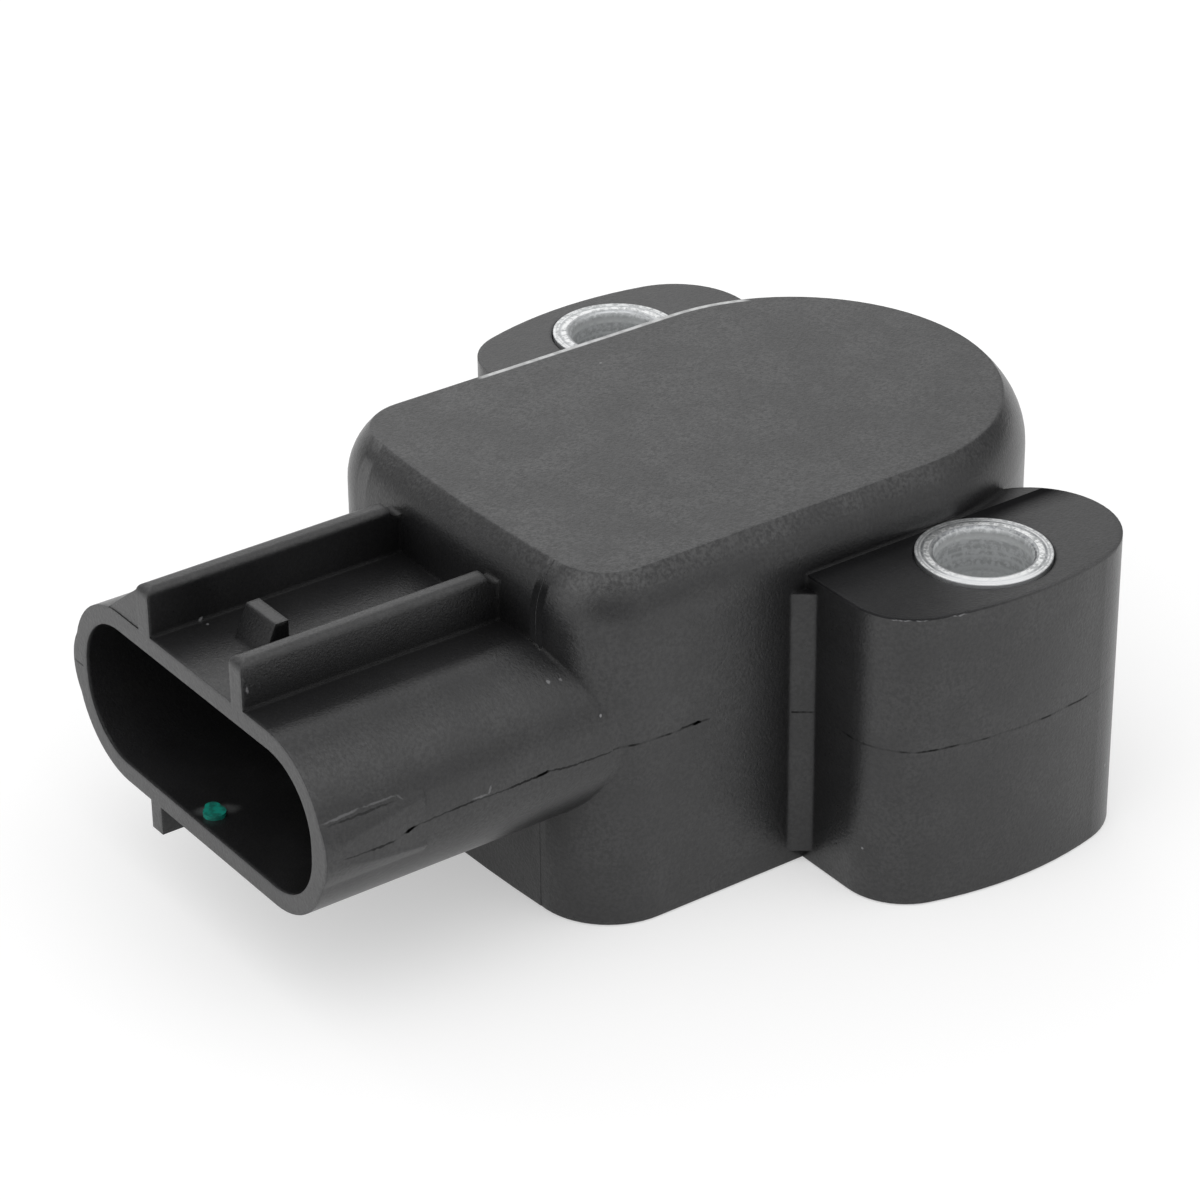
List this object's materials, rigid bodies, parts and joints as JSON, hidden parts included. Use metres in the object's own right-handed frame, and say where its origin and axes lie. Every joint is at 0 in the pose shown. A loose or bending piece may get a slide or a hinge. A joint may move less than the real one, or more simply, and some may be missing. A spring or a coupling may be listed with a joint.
{
  "type": "throttle position sensor",
  "caption": "Domed black sensor body with two bushed fixing ears, an oval plug socket on the front and a sprung slotted rotor underneath.",
  "frame": {"origin": "on the rotor's axis, at the flat mounting face on the underside, midway between the two fixing bushes", "axes": "+Z along the rotor's axis towards the domed top; the plug socket opens towards -Y; the fixing ears stand out along +X and -X"},
  "size_m": [0.045, 0.055, 0.0219],
  "materials": {
    "housing_plastic": "fine matte moulded black, glass-filled plastic",
    "cover_plastic": "matte moulded black plastic",
    "bush_steel": "turned, bright plated",
    "rotor_plastic": "natural acetal, slightly waxy",
    "sleeve_bronze": "sintered, oil darkened",
    "washer_steel": "stamped",
    "spring_wire": "drawn spring wire",
    "wiper_alloy": "stamped spring alloy",
    "rivet_steel": "headed",
    "board_ceramic": "fired ceramic, off-white",
    "track_ink": "printed resistive ink",
    "collector_ink": "printed silver ink",
    "terminal_plate": "stamped, plated",
    "clip_plate": "stamped, plated",
    "sealant": "cured sealant",
    "seal_rubber": "moulded rubber",
    "dab_paint": "dried paint"
  },
  "bodies": {
    "base": {"housing": "housing_plastic", "base_cover": "cover_plastic", "bush_left": "bush_steel", "bush_right": "bush_steel", "bearing_sleeve": "sleeve_bronze", "thrust_washer": "washer_steel", "return_spring": "spring_wire", "track_board": "board_ceramic", "resistive_track": "track_ink", "collector_track": "collector_ink", "terminal_supply": "terminal_plate", "terminal_signal": "terminal_plate", "terminal_ground": "terminal_plate", "clip_supply": "clip_plate", "clip_signal": "clip_plate", "clip_ground": "clip_plate", "terminal_sealant": "sealant", "shaft_seal": "seal_rubber", "flange_seal": "seal_rubber", "inspection_dab": "dab_paint"},
    "rotor": {"rotor": "rotor_plastic", "wiper": "wiper_alloy", "wiper_rivets": "rivet_steel"}
  },
  "joints": [
    {"name": "rotor_turn", "type": "hinge", "parent": "base", "child": "rotor", "pos_m": [0, 0, 0.007], "axis": [0, 0, 1], "range_deg": [0, 100], "stiffness_Nm_per_rad": 0.02, "springref_deg": -20.05, "deforming": ["return_spring"]}
  ]
}
